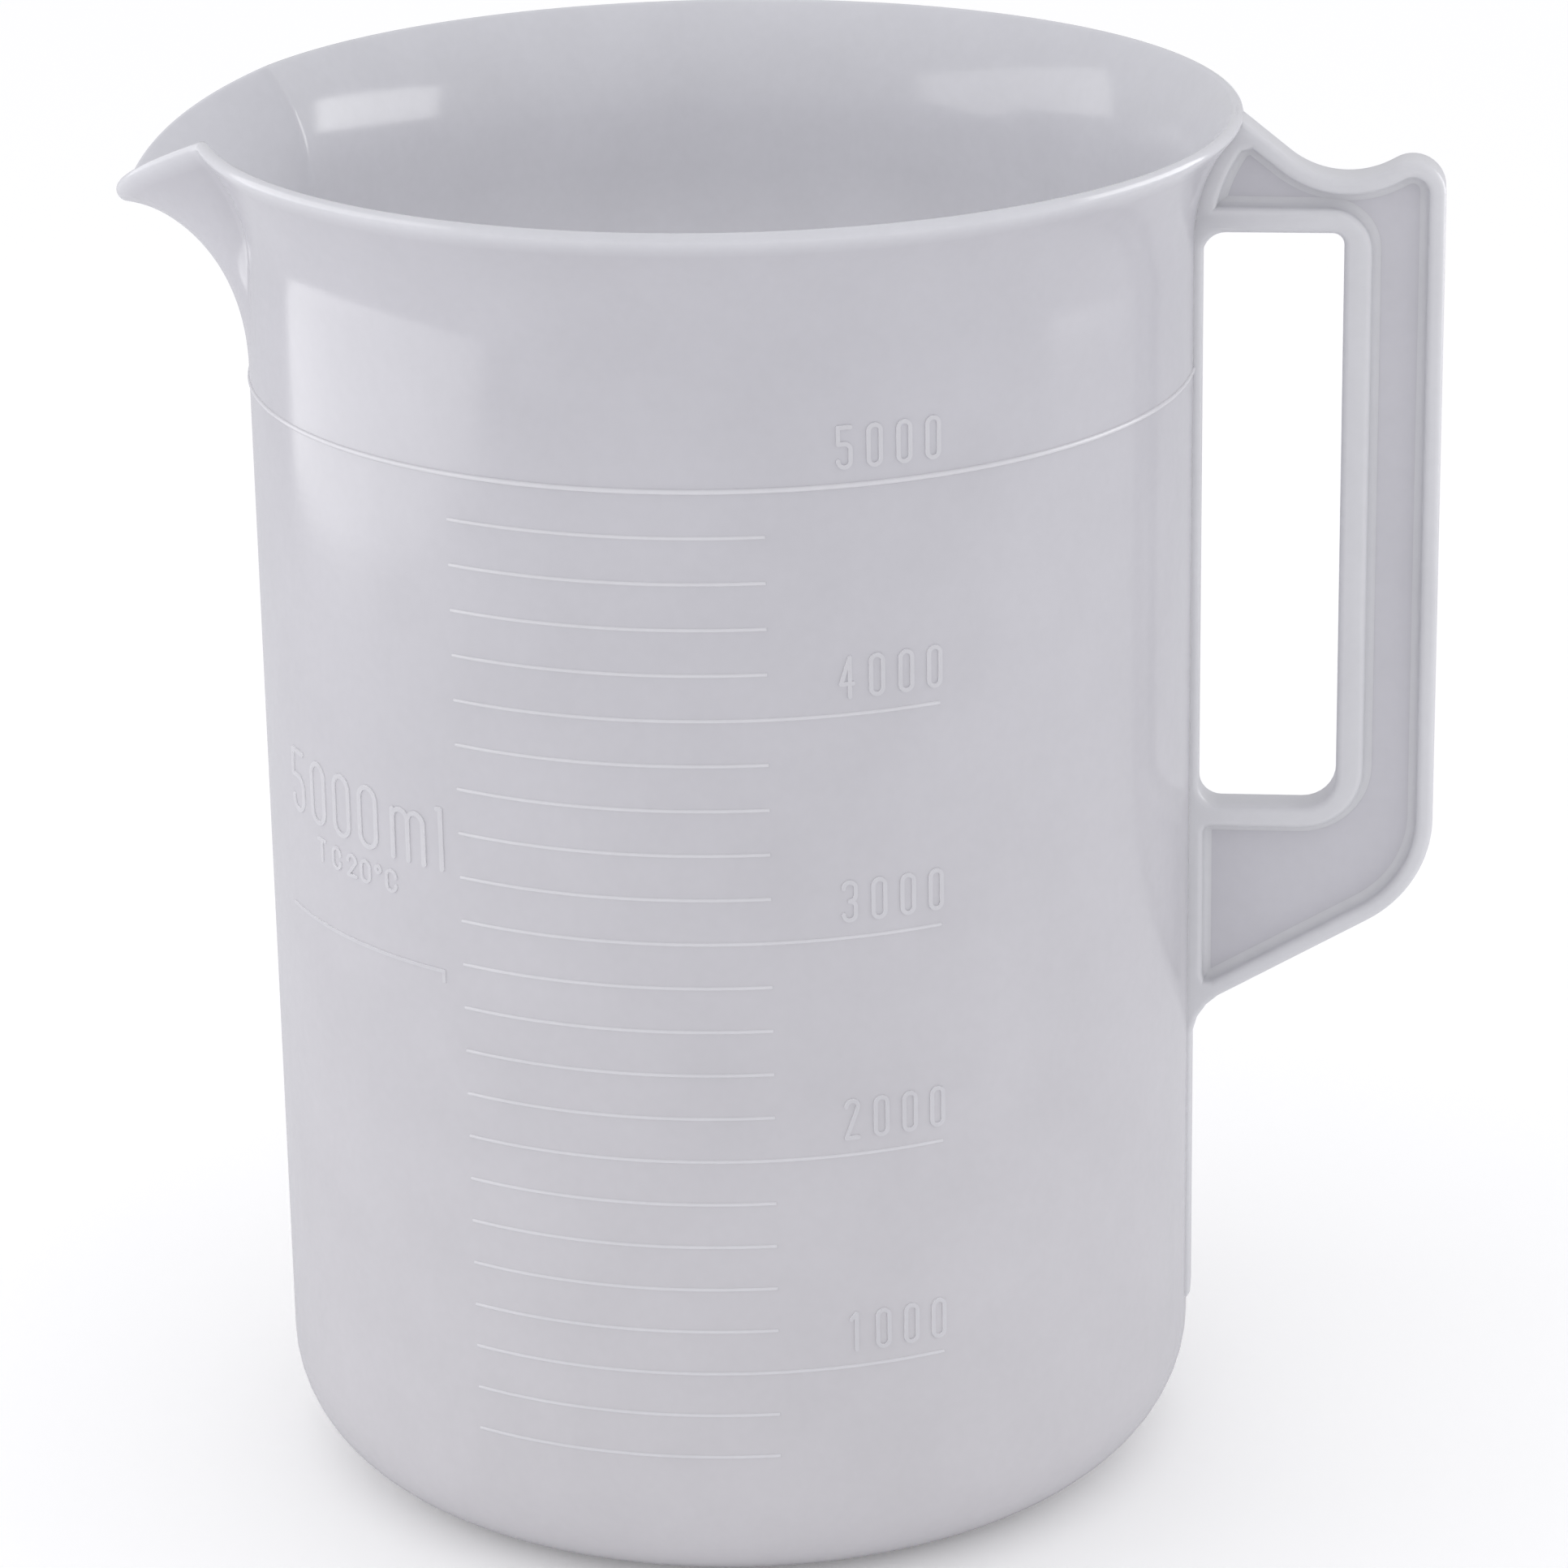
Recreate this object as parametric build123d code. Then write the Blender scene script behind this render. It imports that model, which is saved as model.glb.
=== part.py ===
"""Five-litre measuring beaker: one injection moulding in translucent polypropylene.

The vessel stands on the plane z = 0 with its axis on Z. The handle points along +X and the
spout along -X. The one moulding is written out as its regions, which meet face to face:
floor, walls, lip, spout, handle and the raised markings. All lengths are in millimetres.
Sections are drawn as (radius, height) and stood up on the XZ plane.
"""

from build123d import *

import os
from math import atan2, cos, degrees, pi, radians, sin, tan

# Vessel
BASE_RADIUS = 88.85
TAPER = 0.0015  # gain in outer radius per mm of height
WALL = 2.4
FLOOR = 3.0
CORNER_RADIUS = 24.0
COLLAR_Z = 219.5  # just above the full-capacity ring, where the spout starts
FLARE_Z = 243.4
FLARE_RADIUS = 32.2  # outside of the lip
FLARE_ANGLE = 42.0

# Spout
SPOUT_HALF_ANGLE = 18.7
SPOUT_SPANS = 12  # spans between the sections of the loft
SPOUT_REACH = 112.9  # underside of the drip point
SPOUT_TIP_Z = 248.0
SPOUT_ROOT_Z = 221.0

# Handle
HANDLE_WIDTH = 8.8
WEB = 2.2
OUTER_FLANGE = 3.2
HANDLE_REACH = 135.4
DIP_X = 117.3  # the top dips to its lowest here, then rises to the thumb rest
DIP_RADIUS = 17.0
BUMP_RADIUS = 6.2
BUMP_Z = 252.2
TOP_SLOPE = 39.0
LIP_SEAT = 97.2  # radius at which the handle's top starts on the lip
HEEL_RADIUS = 24.0
HEEL_Z = 129.7
FOOT_SLOPE = 29.7
FOOT_TOP = 94.7  # radius at which the foot's fillet leaves the slope
FOOT_DROP = 8.0  # from there down to where it meets the rib
FOOT_BOW = (3.4, 3.3)  # from its top in and down to its middle
OPENING_RIGHT = 116.8
OPENING_LOW = 131.7
OPENING_HIGH = 244.6
OPENING_CORNER = 6.0
GRIP_SIDE = 5.2
GRIP_TOP = 4.6
GRIP_BOTTOM = 4.2
GRIP_TOP_CORNER = 8.0
GRIP_BOTTOM_CORNER = 12.0
RIB_LOW = 28.0
RIB_FACE = 89.75  # radius of the rib's face below the handle
RIB_FACE_OPENING = 90.6  # the same beside the finger opening
RIB_FACE_WEB = 91.6  # the same below the opening, where the web meets it
RIB_SPLAY = (92.0, 96.0)  # the face slopes from one radius to the other between these heights

# Scale: a ring marks the full capacity, and a line marks each step below it
STEP_ML = 200
FIRST_ML = 600
LONG_ML = 1000
FULL_ML = 5000
FIRST_Z = 32.0
LINE_HEIGHT = 0.6
LINE_RELIEF = 0.2
LINE_START = -117.2  # azimuth in degrees: the scale is on the side that faces -Y
LINE_END = -79.1
LONG_LINE_END = -58.5
RING_HEIGHT = 0.9
RING_RELIEF = 0.5
RING_GAP = 3.2  # degrees to each side of the handle's rib

# Lettering: sizes are (width, height, stroke), and places are azimuths in degrees
RELIEF = 0.25
NUMERAL_SIZE = (3.0, 8.0, 0.75)
NUMERAL_RIGHT = -59.2  # middle of a numeral's last digit
NUMERAL_PITCH = 3.57
NUMERAL_LIFT = 3.0  # from a line's middle up to the feet of its digits
MARK_SIZE = (5.6, 12.4, 0.9)
MARK_LETTER_SIZE = (8.6, 12.4, 0.9)
MARK_DIGITS = (-148.4, -142.8, -137.3, -132.0)
MARK_LETTERS = (-125.0, -119.8)
MARK_Z = 148.8
NOTE_SIZE = (3.1, 4.6, 0.6)
NOTE_PLACES = (-142.3, -138.8, -135.5, -132.8, -130.4, -128.1)
NOTE_Z = 137.9
RULE_Z = 123.0
RULE_START = -151.7
RULE_END = -119.9
RULE_DROP = 2.2
RULE_TAIL = 0.4  # degrees across the end that turns down


# ---- Shared geometry -------------------------------------------------------------------------


def outer_radius(z):
    """Outer radius of the straight wall at a height."""
    return BASE_RADIUS + TAPER * z


def stand(sketch):
    """A sketch of (radius, height) stood up on the XZ plane."""
    return Plane.XZ * sketch


def turned(shape, azimuth):
    """The shape turned about the vessel's axis."""
    return Rot(0, 0, azimuth) * shape


def swept(sketch, start=0.0, sweep=360.0):
    """A section turned about the vessel's axis from an azimuth."""
    return turned(revolve(stand(sketch), Axis.Z, sweep), start)


def polygon(*points):
    """A closed outline with straight sides."""
    return make_face(Polyline(*points, close=True))


def flare_point(centre, radius, angle):
    """A point of a flare's circle, its angle counted from level upwards on the vessel's side."""
    return (centre[0] - radius * cos(radians(angle)), centre[1] + radius * sin(radians(angle)))


# ---- Vessel ----------------------------------------------------------------------------------

LIP_CENTRE = (outer_radius(FLARE_Z) + FLARE_RADIUS, FLARE_Z)
LIP_END = flare_point(LIP_CENTRE, FLARE_RADIUS, FLARE_ANGLE)
FLAT_RADIUS = BASE_RADIUS - CORNER_RADIUS


def floor_disc():
    """Flat middle of the floor."""
    return extrude(Circle(FLAT_RADIUS), FLOOR)


def corner_point(inset, angle):
    """A point of the base corner's outer or inner arc, its angle counted from the floor."""
    run = outer_radius(CORNER_RADIUS) - inset - FLAT_RADIUS
    rise = CORNER_RADIUS - (FLOOR if inset else 0)
    return (FLAT_RADIUS + run * sin(radians(angle)), CORNER_RADIUS - rise * cos(radians(angle)))


def base_corner(first, last):
    """Part of the rounded corner between the floor and the wall."""
    middle = (first + last) / 2
    outer = [corner_point(0, angle) for angle in (first, middle, last)]
    inner = [corner_point(WALL, angle) for angle in (last, middle, first)]
    section = make_face(
        [
            ThreePointArc(*outer),
            Line(outer[2], inner[0]),
            ThreePointArc(*inner),
            Line(inner[2], outer[0]),
        ]
    )
    return swept(section)


def straight_wall(low_z, high_z, start=0.0, sweep=360.0):
    """A length of the straight wall."""
    low = outer_radius(low_z)
    high = outer_radius(high_z)
    section = polygon((low - WALL, low_z), (low, low_z), (high, high_z), (high - WALL, high_z))
    return swept(section, start, sweep)


def flare_section(end, root_z, foot_z):
    """Section of the wall from a foot up to a flared, half-round edge.

    The outside leaves the straight wall at root_z and ends at the given point.
    """
    wall_top = outer_radius(root_z)
    foot = outer_radius(foot_z)
    run = end[0] - wall_top
    rise = end[1] - root_z
    radius = (run**2 + rise**2) / (2 * run)
    angle = degrees(atan2(rise, radius - run))
    centre = (wall_top + radius, root_z)
    edge_middle = radius + WALL / 2
    inner_end = flare_point(centre, radius + WALL, angle)
    edge_top = flare_point(centre, edge_middle, angle)
    tangent = (sin(radians(angle)), cos(radians(angle)))
    edge_top = (edge_top[0] + WALL / 2 * tangent[0], edge_top[1] + WALL / 2 * tangent[1])
    outline = [
        ThreePointArc((wall_top, root_z), flare_point(centre, radius, angle / 2), end),
        ThreePointArc(end, edge_top, inner_end),
        ThreePointArc(
            inner_end,
            flare_point(centre, radius + WALL, angle / 2),
            (wall_top - WALL, root_z),
        ),
    ]
    below = [(wall_top - WALL, root_z), (wall_top, root_z)]
    if foot_z < root_z:
        below[1:1] = [(foot - WALL, foot_z), (foot, foot_z)]
    return make_face([*outline, Polyline(*below)])


def flared_lip():
    """Flared lip with its half-round edge, left open over the spout's sector."""
    section = flare_section(LIP_END, FLARE_Z, FLARE_Z)
    return swept(section, 180 + SPOUT_HALF_ANGLE, 360 - 2 * SPOUT_HALF_ANGLE)


def pour_spout():
    """Spout: the lip drawn out and down to a drip point, as a loft across its sector."""
    sections = []
    for i in range(SPOUT_SPANS + 1):
        side = 2 * i / SPOUT_SPANS - 1
        share = abs(side)
        reach = LIP_END[0] + (SPOUT_REACH - LIP_END[0]) * (1 - share**2.6)
        height = SPOUT_TIP_Z + (LIP_END[1] - SPOUT_TIP_Z) * share**1.15
        root = SPOUT_ROOT_Z + (FLARE_Z - SPOUT_ROOT_Z) * share
        section = stand(flare_section((reach, height), root, COLLAR_Z))
        sections.append(turned(section, 180 + side * SPOUT_HALF_ANGLE))
    return loft(sections, ruled=True)


def vessel_envelope():
    """Everything inside the vessel's outer skin, used to fit the handle and markings to it."""
    wall_top = (outer_radius(FLARE_Z), FLARE_Z)
    inner_end = flare_point(LIP_CENTRE, FLARE_RADIUS + WALL, FLARE_ANGLE)
    above = inner_end[1] + 10
    skin = make_face(
        [
            Line((0, 0), (BASE_RADIUS, 0)),
            Line((BASE_RADIUS, 0), wall_top),
            ThreePointArc(
                wall_top, flare_point(LIP_CENTRE, FLARE_RADIUS, FLARE_ANGLE / 2), LIP_END
            ),
            Polyline(LIP_END, inner_end, (inner_end[0], above), (0, above), (0, 0)),
        ]
    )
    return swept(skin) + swept(flare_section(LIP_END, FLARE_Z, FLARE_Z))


# ---- Handle ----------------------------------------------------------------------------------

BORE = BASE_RADIUS - WALL  # the handle's side views run in to here and are then cut by the vessel


def arc(centre, radius, first, last):
    """An arc about a centre from one angle to another, in degrees."""
    points = [
        (centre[0] + radius * cos(radians(angle)), centre[1] + radius * sin(radians(angle)))
        for angle in (first, (first + last) / 2, last)
    ]
    return ThreePointArc(*points)


def handle_outline(inset):
    """Side view of the handle without its foot's fillet, drawn in by an inset all round."""
    dip_radius = DIP_RADIUS + inset
    bump_radius = BUMP_RADIUS - inset
    bump_centre = (HANDLE_REACH - BUMP_RADIUS, BUMP_Z)
    centres_run = bump_centre[0] - DIP_X
    centres_rise = ((DIP_RADIUS + BUMP_RADIUS) ** 2 - centres_run**2) ** 0.5
    dip_centre = (DIP_X, bump_centre[1] + centres_rise)
    join = degrees(atan2(centres_rise, -centres_run))
    dip = arc(dip_centre, dip_radius, 270 - TOP_SLOPE, join + 180)
    bump = arc(bump_centre, bump_radius, join, 0)
    heel = arc((HANDLE_REACH - HEEL_RADIUS, HEEL_Z), HEEL_RADIUS - inset, 0, FOOT_SLOPE - 90)
    top = dip @ 0
    heel_end = heel @ 1
    lip_run = top.X - LIP_SEAT
    lip = (LIP_SEAT, top.Y + lip_run * tan(radians(TOP_SLOPE)))
    wall = (BORE, heel_end.Y - (heel_end.X - BORE) * tan(radians(FOOT_SLOPE)))
    return make_face(
        [
            Line(lip, top),
            dip,
            bump,
            Line(bump @ 1, heel @ 0),
            heel,
            Polyline(heel_end, wall, (BORE, FLARE_Z), lip),
        ]
    )


def foot_fillet():
    """Fillet where the handle's foot runs into the wall."""
    heel_end = arc((HANDLE_REACH - HEEL_RADIUS, HEEL_Z), HEEL_RADIUS, 0, FOOT_SLOPE - 90) @ 1
    slope = tan(radians(FOOT_SLOPE))
    top = (FOOT_TOP, heel_end.Y - (heel_end.X - FOOT_TOP) * slope)
    low = (RIB_FACE, top[1] - FOOT_DROP)
    wall = (BORE, heel_end.Y - (heel_end.X - BORE) * slope)
    return make_face(
        [
            ThreePointArc(top, (top[0] - FOOT_BOW[0], top[1] - FOOT_BOW[1]), low),
            Polyline(low, (BORE, low[1]), wall, top),
        ]
    )


def rounded_corner_face(face, corners, radius):
    """A face with the corners nearest the given points rounded."""
    for corner in corners:
        vertex = face.vertices().sort_by_distance(Vector(*corner))[0]
        face = fillet(vertex, radius)
    return face


def grip_outline():
    """Side view of the grip around the finger opening, the opening filled in."""
    right = OPENING_RIGHT + GRIP_SIDE
    low = OPENING_LOW - GRIP_BOTTOM
    high = OPENING_HIGH + GRIP_TOP
    body = polygon((BORE, low), (right, low), (right, high), (BORE, high))
    body = rounded_corner_face(body, [(right, low)], GRIP_BOTTOM_CORNER)
    return rounded_corner_face(body, [(right, high)], GRIP_TOP_CORNER)


def opening_outline():
    """Finger opening, run on into the wall."""
    left = RIB_FACE_OPENING
    body = polygon(
        (left, OPENING_LOW),
        (OPENING_RIGHT, OPENING_LOW),
        (OPENING_RIGHT, OPENING_HIGH),
        (left, OPENING_HIGH),
    )
    return fillet(body.vertices(), OPENING_CORNER)


def rib_outline():
    """Side view of the rib that joins the handle to the wall, from the lip to near the base."""
    face_radius = FLARE_RADIUS - OUTER_FLANGE
    foot_low = OPENING_LOW - GRIP_BOTTOM
    neck = flare_point(LIP_CENTRE, face_radius, FLARE_ANGLE)
    return make_face(
        [
            Polyline(
                (BORE, RIB_LOW),
                (RIB_FACE - 0.6, RIB_LOW),
                (RIB_FACE, RIB_LOW + 1.2),
                (RIB_FACE, RIB_SPLAY[0]),
                (RIB_FACE_WEB, RIB_SPLAY[1]),
                (RIB_FACE_WEB, foot_low),
                (RIB_FACE_OPENING, OPENING_LOW),
                (RIB_FACE_OPENING, OPENING_HIGH),
                (LIP_CENTRE[0] - face_radius, OPENING_HIGH + GRIP_TOP - 2.0),
            ),
            Line(
                (LIP_CENTRE[0] - face_radius, OPENING_HIGH + GRIP_TOP - 2.0),
                flare_point(LIP_CENTRE, face_radius, 12),
            ),
            ThreePointArc(
                flare_point(LIP_CENTRE, face_radius, 12),
                flare_point(LIP_CENTRE, face_radius, 27),
                neck,
            ),
            Polyline(neck, (BORE, neck[1]), (BORE, RIB_LOW)),
        ]
    )


def plate(sketch, width):
    """A side view given its width across the handle."""
    return extrude(stand(sketch), width / 2, both=True)


def handle_parts(envelope):
    """Rib, grip, web and outer flange of the I-section handle."""
    whole = handle_outline(0) + foot_fillet()
    rib = rib_outline()
    opening = opening_outline()
    grip = grip_outline()
    web = (handle_outline(OUTER_FLANGE) - rib - grip).faces().sort_by(SortBy.AREA)[-1]
    flange = whole - web - grip - rib
    return {
        "handle_wall_rib": plate(rib - opening, HANDLE_WIDTH) - envelope,
        "handle_grip": plate(grip - opening - rib, HANDLE_WIDTH) - envelope,
        "handle_web": plate(web, WEB) - envelope,
        "handle_outer_flange": plate(flange, HANDLE_WIDTH) - envelope,
    }


# ---- Scale -----------------------------------------------------------------------------------


def litre_rise():
    """Height between two lines of the scale, from the bore of the straight wall."""
    bore = outer_radius(125.0) - WALL
    return STEP_ML * 1000 / (pi * bore**2)


def line_z(millilitres):
    """Height of a line of the scale."""
    return FIRST_Z + litre_rise() * (millilitres - FIRST_ML) / STEP_ML


def raised_line(z, start, end):
    """A raised line around part of the wall."""
    low = z - LINE_HEIGHT / 2
    high = z + LINE_HEIGHT / 2
    section = polygon(
        (outer_radius(low), low),
        (outer_radius(low) + LINE_RELIEF, low),
        (outer_radius(high) + LINE_RELIEF, high),
        (outer_radius(high), high),
    )
    return swept(section, start, end - start)


def scale_lines():
    """Short lines, one for each step that isn't a whole thousand."""
    steps = range(FIRST_ML, FULL_ML, STEP_ML)
    return [raised_line(line_z(ml), LINE_START, LINE_END) for ml in steps if ml % LONG_ML]


def thousand_lines():
    """Long lines, one under each numeral."""
    steps = range(LONG_ML, FULL_ML, LONG_ML)
    return [raised_line(line_z(ml), LINE_START, LONG_LINE_END) for ml in steps]


def capacity_ring():
    """Rounded ring at the full capacity, broken where the handle's rib passes."""
    z = line_z(FULL_ML)
    low = z - RING_HEIGHT / 2
    high = z + RING_HEIGHT / 2
    section = make_face(
        [
            ThreePointArc(
                (outer_radius(low), low), (outer_radius(z) + RING_RELIEF, z), (outer_radius(high), high)
            ),
            Line((outer_radius(high), high), (outer_radius(low), low)),
        ]
    )
    return swept(section, RING_GAP, 360 - 2 * RING_GAP)


# ---- Lettering -------------------------------------------------------------------------------

# Each character is drawn about its own middle from w and h, half the width and half the height
# of its strokes' centrelines, and the stroke's width.


def pen(stroke, *edges):
    """One stroke along joined edges, with round ends."""
    return Sketch() + Face(Wire(edges).offset_2d(stroke / 2))


def digit_0(w, h, stroke):
    def ring(grow):
        return RectangleRounded(2 * (w + grow), 2 * (h + grow), w + grow - 0.01)

    return ring(stroke / 2) - ring(-stroke / 2)


def digit_1(w, h, stroke):
    return pen(stroke, Line((-w * 0.6, h - w), (0.3 * w, h)), Line((0.3 * w, h), (0.3 * w, -h)))


def digit_2(w, h, stroke):
    return pen(
        stroke,
        ThreePointArc((-w, h - w), (0, h), (w, h - w)),
        Line((w, h - w), (-w, -h)),
        Line((-w, -h), (w, -h)),
    )


def digit_3(w, h, stroke):
    bowl = pen(
        stroke,
        ThreePointArc((-w, h - w), (0, h), (w, h - w)),
        Line((w, h - w), (w, w)),
        RadiusArc((w, w), (0, 0), w),
    )
    return bowl + mirror(bowl, Plane.XZ)


def digit_4(w, h, stroke):
    stem = 0.45 * w
    bar = -h / 3
    return pen(stroke, Line((stem, h), (stem, -h))) + pen(
        stroke, Line((stem, h), (-w, bar)), Line((-w, bar), (w, bar))
    )


def digit_5(w, h, stroke):
    waist = h / 6
    return pen(stroke, Line((w, h), (-w, h)), Line((-w, h), (-w, waist))) + pen(
        stroke,
        Line((-w, waist), (0, waist)),
        RadiusArc((0, waist), (w, waist - w), w),
        Line((w, waist - w), (w, w - h)),
        ThreePointArc((w, w - h), (0, -h), (-w, w - h)),
    )


def letter_m(w, h, stroke):
    top = 0.6 * h
    arch = w / 2
    stems = pen(stroke, Line((-w, top), (-w, -h)))
    for left in (-w, 0):
        stems += pen(
            stroke,
            ThreePointArc((left, top - arch), (left + arch / 2, top), (left + w, top - arch)),
            Line((left + w, top - arch), (left + w, -h)),
        )
    return stems


def letter_l(w, h, stroke):
    return pen(stroke, Line((-0.2 * w, h), (0, h)), Line((0, h), (0, -h)))


def letter_t(w, h, stroke):
    return pen(stroke, Line((-w, h), (w, h))) + pen(stroke, Line((0, h), (0, -h)))


def letter_c(w, h, stroke):
    top = h - w
    return pen(
        stroke,
        ThreePointArc((w, top), (0, h), (-w, top)),
        Line((-w, top), (-w, -top)),
        ThreePointArc((-w, -top), (0, -h), (w, -top)),
    )


def degree_sign(w, h, stroke):
    middle = h - w / 2
    return Pos(0, middle) * (Circle(w / 2 + stroke / 2) - Circle(w / 2 - stroke / 2))


GLYPHS = {
    "0": digit_0,
    "1": digit_1,
    "2": digit_2,
    "3": digit_3,
    "4": digit_4,
    "5": digit_5,
    "m": letter_m,
    "l": letter_l,
    "T": letter_t,
    "C": letter_c,
    "°": degree_sign,
}


def raised_text(text, places, middle_z, size, envelope):
    """Raised characters on the wall, each with its middle at its own azimuth, one solid each."""
    width, height, stroke = size
    radius = outer_radius(middle_z)
    solids = []
    for character, azimuth in zip(text, places):
        outward = (cos(radians(azimuth)), sin(radians(azimuth)), 0)
        face_plane = Plane(
            origin=(radius * outward[0], radius * outward[1], middle_z),
            x_dir=(-outward[1], outward[0], 0),
            z_dir=outward,
        )
        glyph = GLYPHS[character]((width - stroke) / 2, (height - stroke) / 2, stroke)
        block = extrude(face_plane * glyph, RELIEF) + extrude(face_plane * glyph, -1.0)
        solids += (block - envelope).solids()
    return solids


def numeral(millilitres, envelope):
    """The number that stands above a thousand's line."""
    middle = line_z(millilitres) + NUMERAL_LIFT + NUMERAL_SIZE[1] / 2
    places = [NUMERAL_RIGHT - i * NUMERAL_PITCH for i in (3, 2, 1, 0)]
    return raised_text(str(millilitres), places, middle, NUMERAL_SIZE, envelope)


def capacity_mark(envelope):
    """The full capacity in large figures, and its unit."""
    figures = raised_text(str(FULL_ML), MARK_DIGITS, MARK_Z, MARK_SIZE, envelope)
    return figures + raised_text("ml", MARK_LETTERS, MARK_Z, MARK_LETTER_SIZE, envelope)


def mark_rule():
    """Plain rule under the capacity mark, turned down at its right end."""
    tail_start = RULE_END - RULE_TAIL
    corner = raised_line(RULE_Z, tail_start, RULE_END)
    tail_low = RULE_Z - RULE_DROP
    tail_high = RULE_Z - LINE_HEIGHT / 2
    tail = polygon(
        (outer_radius(tail_low), tail_low),
        (outer_radius(tail_low) + LINE_RELIEF, tail_low),
        (outer_radius(tail_high) + LINE_RELIEF, tail_high),
        (outer_radius(tail_high), tail_high),
    )
    rule = raised_line(RULE_Z, RULE_START, tail_start)
    return rule + corner + swept(tail, tail_start, RULE_TAIL)


# ---- Output ----------------------------------------------------------------------------------


def build():
    """Every region of the moulding by node name."""
    envelope = vessel_envelope()
    parts = {
        "floor_disc": floor_disc(),
        "base_corner_low": base_corner(0, 45),
        "base_corner_high": base_corner(45, 90),
        "measuring_wall": straight_wall(CORNER_RADIUS, COLLAR_Z),
        "upper_wall": straight_wall(
            COLLAR_Z, FLARE_Z, 180 + SPOUT_HALF_ANGLE, 360 - 2 * SPOUT_HALF_ANGLE
        ),
        "flared_lip": flared_lip(),
        "pour_spout": pour_spout(),
        "capacity_ring": capacity_ring(),
        "scale_lines": Compound(children=scale_lines()),
        "thousand_lines": Compound(children=thousand_lines()),
        "capacity_mark": Compound(children=capacity_mark(envelope)),
        "temperature_mark": Compound(
            children=raised_text("TC20°C", NOTE_PLACES, NOTE_Z, NOTE_SIZE, envelope)
        ),
        "mark_rule": mark_rule(),
    }
    parts.update(handle_parts(envelope))
    for millilitres in range(LONG_ML, FULL_ML + 1, LONG_ML):
        solids = numeral(millilitres, envelope)
        parts[f"numeral_{millilitres}"] = Compound(children=solids)
    return parts


os.makedirs("parts", exist_ok=True)
for name, shape in build().items():
    export_step(shape, f"parts/{name}.step")
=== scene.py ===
"""Five-litre measuring beaker in natural polypropylene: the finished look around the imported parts."""

import math

import bpy
import bmesh
from mathutils import Matrix, Vector


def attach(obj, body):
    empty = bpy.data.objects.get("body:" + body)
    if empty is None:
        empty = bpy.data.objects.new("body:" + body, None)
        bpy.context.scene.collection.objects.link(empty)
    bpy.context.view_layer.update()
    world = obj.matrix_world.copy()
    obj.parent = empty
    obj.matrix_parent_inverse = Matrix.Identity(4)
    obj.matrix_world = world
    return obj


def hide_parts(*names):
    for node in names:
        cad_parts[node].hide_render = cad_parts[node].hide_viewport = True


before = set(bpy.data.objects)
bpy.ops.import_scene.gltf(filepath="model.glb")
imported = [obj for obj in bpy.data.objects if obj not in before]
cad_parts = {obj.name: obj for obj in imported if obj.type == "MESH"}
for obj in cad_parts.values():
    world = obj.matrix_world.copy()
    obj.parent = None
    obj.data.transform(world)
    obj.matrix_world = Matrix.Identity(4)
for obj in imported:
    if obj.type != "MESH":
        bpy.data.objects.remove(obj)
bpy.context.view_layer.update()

# ---- Camera ----------------------------------------------------------------------------------
# A long lens from in front and above, a metre away, a little to the handle's side of the scale.
# It is tipped down at the beaker and very slightly rolled.
MM = 0.001
CAMERA_PLACE = (121.66, -1067.75, 511.75)
CAMERA_HEADING = 95.95
CAMERA_TILT = -19.422
CAMERA_ROLL = -0.9475
LENS = 134.85


def aim(heading, tilt, roll):
    """Rotation of a camera that looks along a heading and a tilt, rolled about that line."""
    heading, tilt, roll = (math.radians(angle) for angle in (heading, tilt, roll))
    forward = Vector(
        (math.cos(heading) * math.cos(tilt), math.sin(heading) * math.cos(tilt), math.sin(tilt))
    )
    right = Vector((math.sin(heading), -math.cos(heading), 0))
    up = right.cross(forward)
    rolled_right = right * math.cos(roll) + up * math.sin(roll)
    rolled_up = up * math.cos(roll) - right * math.sin(roll)
    return Matrix((rolled_right, rolled_up, -forward)).transposed()


camera_data = bpy.data.cameras.new("studio_camera")
camera_data.lens = LENS
camera_data.sensor_width = 36
camera_data.clip_start = 0.05
camera_data.clip_end = 50
camera = bpy.data.objects.new("studio_camera", camera_data)
bpy.context.scene.collection.objects.link(camera)
camera.matrix_world = Matrix.Translation(Vector(CAMERA_PLACE) * MM) @ aim(
    CAMERA_HEADING, CAMERA_TILT, CAMERA_ROLL
).to_4x4()
bpy.context.scene.camera = camera
bpy.context.scene.view_settings.view_transform = "Standard"

# ---- Studio ----------------------------------------------------------------------------------
# A plain white table top that runs out of view, in an evenly lit white room. Two soft panels
# fill from the sides, and two broad windows, seen only as reflections, give the gloss its shape.


def linear(hex_colour):
    """An sRGB hex colour as linear red, green, blue and full alpha."""
    channels = (int(hex_colour[i : i + 2], 16) / 255 for i in (1, 3, 5))
    return (
        *(c / 12.92 if c <= 0.04045 else ((c + 0.055) / 1.055) ** 2.4 for c in channels),
        1.0,
    )


def add_node(tree, kind, links=None, **settings):
    """A node with its settings, its values and its links: {input: value or output socket}."""
    node = tree.nodes.new(kind)
    for name, value in settings.items():
        setattr(node, name, value)
    for key, value in (links or {}).items():
        if isinstance(value, bpy.types.NodeSocket):
            tree.links.new(value, node.inputs[key])
        else:
            node.inputs[key].default_value = value
    return node


TABLE_SIDE = 14.0
table_top = bpy.data.materials.new("matt_white_laminate")
table_top.use_nodes = True
table_shader = table_top.node_tree.nodes["Principled BSDF"]
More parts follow.
